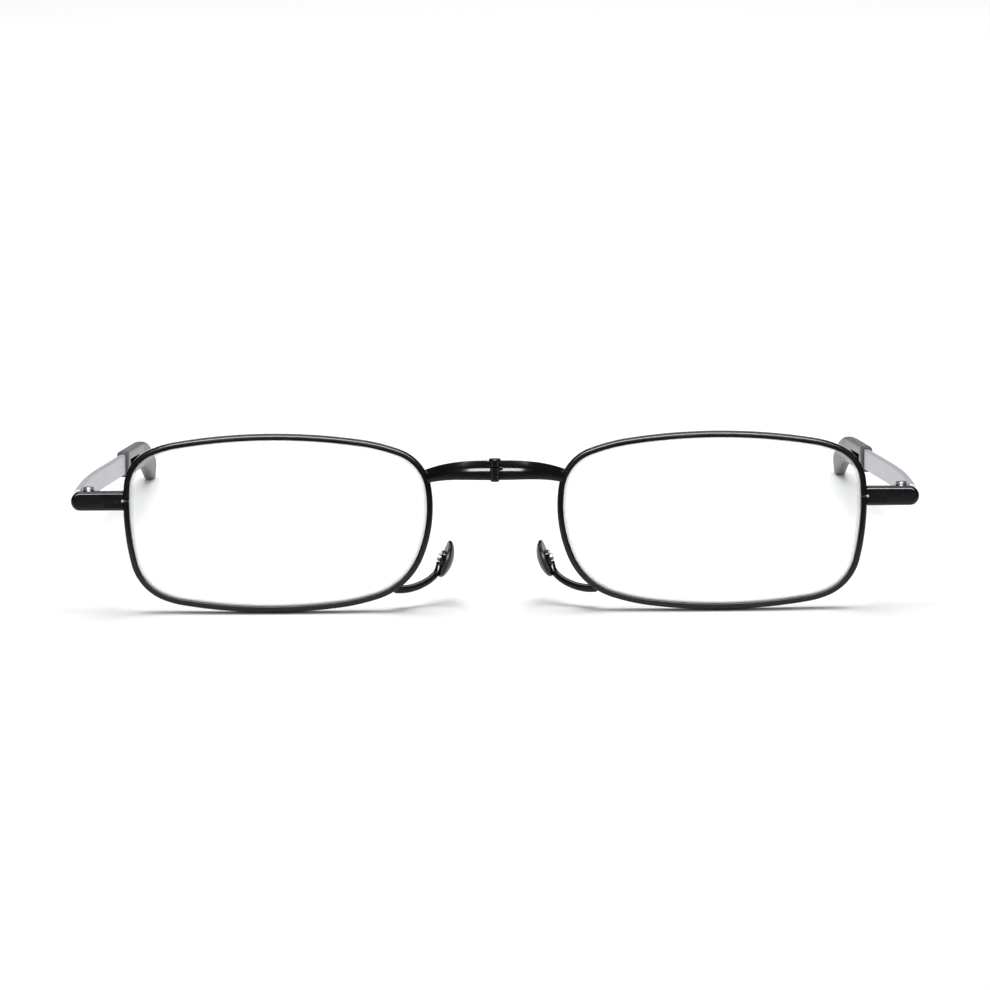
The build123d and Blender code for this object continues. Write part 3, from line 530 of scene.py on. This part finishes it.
# ---- bridge ---------------------------------------------------------------------------------------
BRIDGE_TOP = 23.9
BRIDGE_HEIGHT = 3.0          # at the middle
BRIDGE_DEPTH = 1.7
BRIDGE_FOOT_TOP = 22.2
BRIDGE_FOOT_HEIGHT = 2.1     # where it meets the rim
BRIDGE_FOOT_X = 11.05
BRIDGE_TOP_SLOPE = -0.42     # slopes of the bar's top, bottom and front at its foot
BRIDGE_LOW_SLOPE = -0.3
BRIDGE_FRONT_SLOPE = 0.45
BRIDGE_FLAT = 1.6            # straight length beside the hinge
BRIDGE_FRONT = BRIDGE_PIN[1] + 0.12
BRIDGE_EAR = 0.9             # height of each of the two outer knuckles
BARREL_R = 0.75
BORE_R = 0.4                 # room for the bridge pin in the knuckles
FACE_GAP = 0.05              # between knuckles


def bend(x, start, end, slope):
    """Cubic that leaves the flat stretch level at start and reaches the foot at end with a slope."""
    span = BRIDGE_FOOT_X - BRIDGE_FLAT
    t = np.clip((x - BRIDGE_FLAT) / span, 0, 1.2)
    return start + (end - start) * (3 * t ** 2 - 2 * t ** 3) + span * slope * (t ** 3 - t ** 2)


def bridge_half():
    """Arched bar. Its section has a sloping upper face, a rounded ridge and a flat lower face, and
    runs from beside the hinge to the middle of the rim wire, where each point ends at its height."""
    loop = rounded_loop([
        (0.0, 0.0, 0.12), (0.0, 0.6, 0.45), (0.62, 1.0, 0.12), (1.0, 1.0, 0.12), (1.0, 0.0, 0.12),
    ], steps=8)
    back, rise = loop.T
    foot_z = BRIDGE_FOOT_TOP - BRIDGE_FOOT_HEIGHT * (1 - rise)
    turns = np.linspace(120, 185, 200)
    points, outward = outline_at(turns)
    wire = points + outward * RIM_FACE * 0.55
    end_x = np.interp(foot_z - LENS_Z, wire[::-1, 1], wire[::-1, 0]) + LENS_X
    clear = BARREL_R + FACE_GAP
    start_x = clear + (FACE_GAP / 2 - clear) * back
    along = np.linspace(0, 1, 48)[:, None]
    x = start_x + (end_x - start_x) * along
    top = bend(x, BRIDGE_TOP, BRIDGE_FOOT_TOP, BRIDGE_TOP_SLOPE)
    bottom = BRIDGE_TOP - BRIDGE_HEIGHT
    low = bend(x, bottom, BRIDGE_FOOT_TOP - BRIDGE_FOOT_HEIGHT, BRIDGE_LOW_SLOPE)
    foot_y = sag(LENS_FRONT_RADIUS + RIM_PROUD, LENS_X - BRIDGE_FOOT_X) - RIM_PROUD
    front = bend(x, BRIDGE_FRONT, foot_y, BRIDGE_FRONT_SLOPE)
    return skin(np.stack([x, front + BRIDGE_DEPTH * back, low + (top - low) * rise], -1))


def barrel(low, high):
    """A bored knuckle with softened ends, and the short web that joins it to the bar."""
    soft = 0.08
    profile = [(BORE_R, low), (BARREL_R - soft, low), (BARREL_R, low + soft),
               (BARREL_R, high - soft), (BARREL_R - soft, high), (BORE_R, high)]
    drum = turned(profile, (0, BRIDGE_PIN[1], 0), (0, 0, 1), (1, 0, 0), 40)
    loop = rounded_loop([(0, 0, soft), (1, 0, soft), (1, 1, soft), (0, 1, soft)])
    web_x = np.array([BORE_R + 0.05, BARREL_R + 0.5])[:, None]
    web_y = BRIDGE_FRONT + 0.05 + (BARREL_R - 0.22) * loop[:, 0]
    web = np.broadcast_arrays(web_x, web_y, low + (high - low) * loop[:, 1])
    return [skin(drum, wrap=True), skin(np.stack(web, -1))]


def make_bridge():
    low = BRIDGE_TOP - BRIDGE_HEIGHT
    ear = BRIDGE_EAR
    middle = barrel(low + ear + FACE_GAP, BRIDGE_TOP - ear - FACE_GAP)
    outer = barrel(low, low + ear) + barrel(BRIDGE_TOP - ear, BRIDGE_TOP)
    for side, knuckles, mirrored in (("left", middle, False), ("right", outer, True)):
        make_piece(f"bridge_bar_{side}", [bridge_half()] + knuckles, f"front_{side}", "frame_paint",
                   (f"bridge_{side}",), mirrored)


# ---- temples --------------------------------------------------------------------------------------
END_LENGTH = 8.25
END_DEPTH = 1.9
BAR_INSET = 0.45             # outer face of the strip in from the end of the end piece
BAR_GAP = 0.2                # between the end piece and the strip
BAR_HEIGHT = 3.4
BAR_THICKNESS = 1.0
BAR_X = LENS_X + LENS_WIDTH / 2 + RIM_FACE + END_LENGTH - BAR_INSET - BAR_THICKNESS / 2
END_FRONT_Y = sag(LENS_FRONT_RADIUS + RIM_PROUD, LENS_WIDTH / 2 + RIM_FACE) - RIM_PROUD
BAR_START_Y = END_FRONT_Y + END_DEPTH + BAR_GAP
BAR_LEAD = 11.4              # straight length before the bow
BOW_RADIUS = 260.0
BOW_ANGLE = radians(5.0)
STROKE = 9.0                 # travel of the sleeve along the strip
STROKE_SPARE = 14.0          # strip left between the bow and the sleeve when it is pushed in
BAR_ENTRY = 5.0              # strip inside the sleeve when it is drawn out
BAR_CORNER = 0.22
SLEEVE_WIDTH = 2.0
SLEEVE_HEIGHT = 4.4
SLEEVE_SPARE = 0.5           # left inside the sleeve when it is pushed in
SPIGOT_LENGTH = 2.5          # plug of the ear tip inside the sleeve
SLEEVE_END = STROKE + STROKE_SPARE + BAR_ENTRY + STROKE + SLEEVE_SPARE + SPIGOT_LENGTH
SLIDE = np.array([-sin(BOW_ANGLE), cos(BOW_ANGLE), 0])
ASIDE = np.array([cos(BOW_ANGLE), sin(BOW_ANGLE), 0])
UP = np.array([0, 0, 1.0])
BOW_END = np.array([
    BAR_X - BOW_RADIUS * (1 - cos(BOW_ANGLE)),
    BAR_START_Y + BAR_LEAD + BOW_RADIUS * sin(BOW_ANGLE),
    END_Z,
])


def box_loop(width, height, corner, steps=5):
    """Rounded rectangle about the origin."""
    w = width / 2
    h = height / 2
    return rounded_loop([(-w, -h, corner), (w, -h, corner), (w, h, corner), (-w, h, corner)], steps)


def make_temple_bars():
    """Flat strip along a straight lead, an arc of 260 mm and a straight tail. At each end the
    section shrinks along a quarter circle, which rounds the strip's corners."""
    bow = BOW_RADIUS * BOW_ANGLE
    length = BAR_LEAD + bow + STROKE + STROKE_SPARE + BAR_ENTRY
    soft = 0.8
    near = soft * (1 - np.cos(np.linspace(0, pi / 2, 9)))
    run = np.concatenate([near, np.linspace(soft, length - soft, 70)[1:-1], length - near[::-1]])
    turn = np.clip(run - BAR_LEAD, 0, bow) / BOW_RADIUS
    beyond = np.clip(run - BAR_LEAD - bow, 0, None)
    x = BAR_X - BOW_RADIUS * (1 - np.cos(turn)) - np.sin(turn) * beyond
    y = BAR_START_Y + np.minimum(run, BAR_LEAD) + BOW_RADIUS * np.sin(turn) + np.cos(turn) * beyond
    path = np.stack([x, y, np.full_like(x, END_Z)], -1)
    across = np.stack([np.cos(turn), np.sin(turn), 0 * turn], -1)
    gone = 1 - np.minimum(np.minimum(run, length - run), soft) / soft
    cut = soft * (1 - np.sqrt(1 - gone ** 2))
    high = (BAR_HEIGHT - 2 * cut) / BAR_HEIGHT
    loop = box_loop(BAR_THICKNESS, BAR_HEIGHT, BAR_CORNER)
    rings = swept(path, across, np.broadcast_to(UP, path.shape), loop, 1.0, high)
    make_pair("temple_strip", [skin(rings)], "temple", "temple_silver", "temple_bar")


TIP_BEND_RADIUS = 24.0
TIP_BEND_ANGLE = radians(27.0)
TIP_RUN = 1.5                # straight length after the bend
TIP_CORNER = 0.75
TIP_LEAD = 0.25              # length over which the tip's front edge is rounded
TIP_NARROWING = 0.45         # share of its thickness that the tip loses at the very end


def make_tips():
    """Rounded bar that bends down on an arc of 24 mm and ends in a half circle seen from the side.
    The sides of the section pull in a little towards the end."""
    half = SLEEVE_HEIGHT / 2
    bow = TIP_BEND_RADIUS * TIP_BEND_ANGLE
    body = bow + TIP_RUN
    cap = half * np.sin(np.linspace(0, pi / 2, 16)[1:] * 0.985)
    run = np.concatenate([np.linspace(0.03, body, 46), body + cap])
    turn = np.minimum(run, bow) / TIP_BEND_RADIUS
    beyond = np.clip(run - bow, 0, None)
    ahead = TIP_BEND_RADIUS * np.sin(turn) + np.cos(turn) * beyond
    drop = TIP_BEND_RADIUS * (1 - np.cos(turn)) + np.sin(turn) * beyond
    origin = BOW_END + SLIDE * SLEEVE_END
    path = origin + SLIDE * ahead[:, None] - UP * drop[:, None]
    across = np.broadcast_to(ASIDE, path.shape)
    up = SLIDE * np.sin(turn)[:, None] + UP * np.cos(turn)[:, None]
    round_off = np.sqrt(1 - (np.clip(run - body, 0, None) / half) ** 2)
    lead = np.minimum(run / TIP_LEAD, 1)
    edge = 0.94 + 0.06 * np.sqrt(1 - (1 - lead) ** 2)
    wide = edge * (1 - TIP_NARROWING + TIP_NARROWING * round_off ** 0.5)
    loop = box_loop(SLEEVE_WIDTH, SLEEVE_HEIGHT, TIP_CORNER, 7)
    rings = swept(path, across, up, loop, wide, edge * round_off)
    make_pair("ear_tip", [skin(rings)], "sleeve", "tip_plastic", "temple_tip")


# ---- nose pads ------------------------------------------------------------------------------------
PAD_PLACE = np.array([8.2, 7.0, 7.6])      # middle of the pad's back
PAD_TILT = radians(17.0)
PAD_SPLAY = radians(5.0)
PAD_HEIGHT = 6.0
PAD_LENGTH = 6.6
PAD_THICKNESS = 1.5
PAD_BAND = 0.27              # share of the thickness that has an upright edge
PLATE_LENGTH = 3.0
PLATE_THICKNESS = 0.6
PLATE_HEIGHT = 2.4
PLATE_CORNER = 0.6
ARM_R = 0.6
ARM_FOOT = 5.5               # foot of the arm on the rim, from the nose side of the opening
# points of the arm between its foot and the pad, as shares of the way in X, Y and Z
ARM_SHARES = [(0.36, 0.22, -0.02), (0.70, 0.55, 0.2), (0.93, 0.88, 0.56)]


def on_pad(points):
    """Puts points of the pad's own frame, X from the nose outward, where the pad is."""
    return PAD_PLACE + np.asarray(points, float) @ PAD_TURN.T


def turn_matrix(axis, angle):
    """Rotation about one of the drawing's axes."""
    matrix = np.eye(3)
    one, two = [i for i in range(3) if i != axis]
    if axis == 1:
        one, two = two, one
    matrix[one, one] = matrix[two, two] = cos(angle)
    matrix[one, two] = -sin(angle)
    matrix[two, one] = sin(angle)
    return matrix


PAD_TURN = turn_matrix(2, -PAD_SPLAY) @ turn_matrix(1, -PAD_TILT)


def make_pads():
    """Oval pad. Rings grow over its flat back to a softened edge, pass over an upright band, and
    close over a dome whose height falls off as (1 - share squared) to the power 0.75."""
    angle = np.linspace(0, 2 * pi, 72, endpoint=False)
    oval = np.stack([0 * angle, np.cos(angle) * PAD_LENGTH / 2, np.sin(angle) * PAD_HEIGHT / 2], -1)
    band = PAD_THICKNESS * PAD_BAND
    crown = PAD_THICKNESS - band
    soft = 0.12
    sizes = [0.01, 0.3, 0.6, 0.9]
    depths = [0, 0, 0, 0]
    for bend_angle in np.linspace(0, pi / 2, 5):
        sizes.append(1 - soft / 3 * (1 - sin(bend_angle)))
        depths.append(-soft * (1 - cos(bend_angle)))
    for share in np.cos(np.linspace(0, pi / 2 * 0.994, 16)[::-1])[::-1]:
        sizes.append(share)
        depths.append(-band - crown * (1 - share ** 2) ** 0.75)
    rings = oval * np.array(sizes)[:, None, None]
    rings[..., 0] += np.array(depths)[:, None]
    make_pair("pad_dome", [skin(on_pad(rings))], "front", "pad_plastic", "nose_pad", sharp=50)


def smooth_path(points, start, end, steps=14):
    """Cubic spans through the points: at each inner point the curve runs parallel to the line
    between its neighbours, and at the ends it runs along start and end."""
    points = np.array(points)
    along = np.gradient(points, axis=0)
    along[0] = unit(np.array(start)) * np.linalg.norm(points[1] - points[0])
    along[-1] = unit(np.array(end)) * np.linalg.norm(points[-1] - points[-2])
    t = np.linspace(0, 1, steps, endpoint=False)[None, :, None]
    a, b, p, q = points[:-1, None], points[1:, None], along[:-1, None], along[1:, None]
    spans = (2 * t ** 3 - 3 * t ** 2 + 1) * a + (3 * t ** 2 - 2 * t ** 3) * b
    spans = spans + (t ** 3 - 2 * t ** 2 + t) * p + (t ** 3 - t ** 2) * q
    return np.concatenate([spans.reshape(-1, 3), points[-1:]])


def make_pad_arms():
    """Wire brazed behind the rim's lower nose corner, curving up to a plate behind the pad. The
    round section is fuller at the foot and slims towards the plate."""
    foot_x = -LENS_WIDTH / 2 + ARM_FOOT
    corner = (OUTLINE_TURNS > 203.3) & (OUTLINE_TURNS < 279)
    foot_z = np.interp(foot_x, OUTLINE[corner, 0], OUTLINE[corner, 1]) - RIM_FACE / 2
    back = sag(LENS_FRONT_RADIUS + RIM_PROUD - RIM_DEPTH, sqrt(foot_x ** 2 + foot_z ** 2))
    foot = np.array([
        LENS_X + foot_x, back + RIM_DEPTH - RIM_PROUD + ARM_R * 0.4, LENS_Z + foot_z - ARM_R * 0.4,
    ])
    plate = on_pad((PLATE_THICKNESS * 0.75, 0, -PLATE_HEIGHT * 0.3))
    way = plate - foot
    points = [foot] + [foot + way * shares for shares in ARM_SHARES] + [plate]
    path = smooth_path(points, (-1, 0.25, -0.25), (-0.25, 0.05, 1))
    ahead = unit(np.gradient(path, axis=0))
    across = unit(np.cross(ahead, (0, 1, 0)))
    up = np.cross(across, ahead)
    angle = np.linspace(0, 2 * pi, 28, endpoint=False)
    loop = np.stack([np.cos(angle), np.sin(angle)], -1) * ARM_R
    share = np.linspace(0, 1, len(path))
    wide = 1.12 - 0.24 * share
    tuck = np.sqrt(np.clip(share * 30, 0.02, 1))
    wire = skin(swept(path, across, up, loop, wide * tuck, wide * tuck))
    plate_loop = box_loop(PLATE_LENGTH, PLATE_HEIGHT, PLATE_CORNER)
    rings = []
    steps = ((0.01, 0.95), (0.07, 1), (PLATE_THICKNESS - 0.12, 1), (PLATE_THICKNESS, 0.93))
    for depth, size in steps:
        rings.append(on_pad(np.insert(plate_loop * size, 0, depth, axis=1)))
    make_pair("pad_wire", [wire, skin(np.array(rings))], "front", "frame_paint", "pad_arm", sharp=40)


# ---- small machined pieces ------------------------------------------------------------------------
def make_machined(node, edge):
    """A copy of a designed piece with its triangles joined, its flats made whole and every crisp
    edge broken by a small bevel."""
    mesh = frame["nodes"][node].data.copy()
    mesh.materials.clear()
    work = bmesh.new()
    work.from_mesh(mesh)
    bmesh.ops.remove_doubles(work, verts=work.verts, dist=0.000002)
    bmesh.ops.dissolve_limit(work, angle_limit=radians(1), verts=work.verts, edges=work.edges)
    work.to_mesh(mesh)
    work.free()
    mesh.shade_smooth()
    mesh.set_sharp_from_angle(angle=radians(32))
    slot = SLOTS[node]
    piece = finish_piece(f"{node}_machined", mesh, BODIES[node], (node,), FINISHES[slot])
    bevel = piece.modifiers.new("broken_edges", "BEVEL")
    bevel.width = edge * MM
    bevel.segments = 2
    bevel.limit_method = "ANGLE"
    bevel.angle_limit = radians(40)
    bevel.harden_normals = True


MACHINED = {
    "end_piece": 0.12, "rim_lock_block": 0.04, "rim_lock_screw": 0.04, "hinge_block": 0.1,
    "hinge_screw": 0.05, "hinge_leaf": 0.08, "hinge_rivets": 0.06, "bar_stop": 0.05,
    "temple_sleeve": 0.06, "sleeve_bush": 0.08, "pad_screw": 0.04,
}


def make_small_parts():
    for part, edge in MACHINED.items():
        for side in ("left", "right"):
            make_machined(f"{part}_{side}", edge)
    make_machined("bridge_screw", 0.06)
    make_machined("bridge_nut", 0.05)


make_rims()
make_lenses()
make_bridge()
make_temple_bars()
make_tips()
make_pads()
make_pad_arms()
make_small_parts()


# ---- floor and light ------------------------------------------------------------------------------
def make_floor():
    """A wide white floor, 80 m across."""
    half = 40.0
    corners = [(-half, -half, 0), (half, -half, 0), (half, half, 0), (-half, half, 0)]
    mesh = bpy.data.meshes.new("floor")
    mesh.from_pydata(corners, [], [(0, 1, 2, 3)])
    floor = bpy.data.objects.new("floor", mesh)
    scene.collection.objects.link(floor)
    paint = Paint("floor_white")
    paint.set(Base_Color=(0.95, 0.95, 0.95, 1), Roughness=0.9, Specular_IOR_Level=0.0)
    mesh.materials.append(paint.material)


def make_light(name, place, size, power):
    """A rectangular soft light that faces the glasses."""
    data = bpy.data.lights.new(name, "AREA")
    data.shape = "RECTANGLE"
    data.size, data.size_y = size
    data.energy = power
    lamp = bpy.data.objects.new(name, data)
    scene.collection.objects.link(lamp)
    lamp.location = place
    lamp.rotation_euler = (-Vector(place)).to_track_quat("-Z", "Y").to_euler()
    return lamp


def make_world(level):
    """Even white light from all round, which no reflection shows."""
    world = bpy.data.worlds.new("studio")
    scene.world = world
    world.use_nodes = True
    world.node_tree.nodes["Background"].inputs["Color"].default_value = (1, 1, 1, 1)
    world.node_tree.nodes["Background"].inputs["Strength"].default_value = level
    world.cycles_visibility.glossy = False


make_floor()
make_world(0.475)
# the first light makes the shadows; the second only makes highlights
make_light("back_softbox", (0, 0.22, 0.85), (0.8, 0.5), 7.4)
shine = make_light("front_strip", (0, -0.62, 0.42), (0.7, 0.3), 21.0)
shine.visible_diffuse = False
shine.visible_transmission = False
scene.view_settings.view_transform = "Standard"
